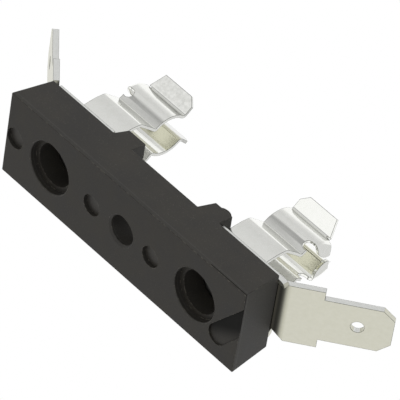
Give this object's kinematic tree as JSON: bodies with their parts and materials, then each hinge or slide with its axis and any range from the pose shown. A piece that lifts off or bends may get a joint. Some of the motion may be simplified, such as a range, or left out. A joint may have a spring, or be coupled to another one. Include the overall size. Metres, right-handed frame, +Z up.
{
  "type": "panel mount fuse holder",
  "caption": "Open fuse holder: moulded block with riveted spring clips and angled push-on terminals for a cartridge fuse.",
  "frame": {"origin": "middle of the flat mounting face under the block", "axes": "+Z up from the mounting face to the clips, X along the fuse and through both tabs, Y across the block"},
  "size_m": [0.0628, 0.0124, 0.0204],
  "materials": {
    "phenolic": "moulded, matt black",
    "clip_tin": "tin plated, bright",
    "terminal_tin": "tin plated, satin",
    "rivet_tin": "tin plated, satin"
  },
  "bodies": {
    "root": {"base": "phenolic", "left_clip": "clip_tin", "right_clip": "clip_tin", "left_terminal": "terminal_tin", "right_terminal": "terminal_tin", "left_rivet": "rivet_tin", "right_rivet": "rivet_tin"}
  },
  "joints": []
}
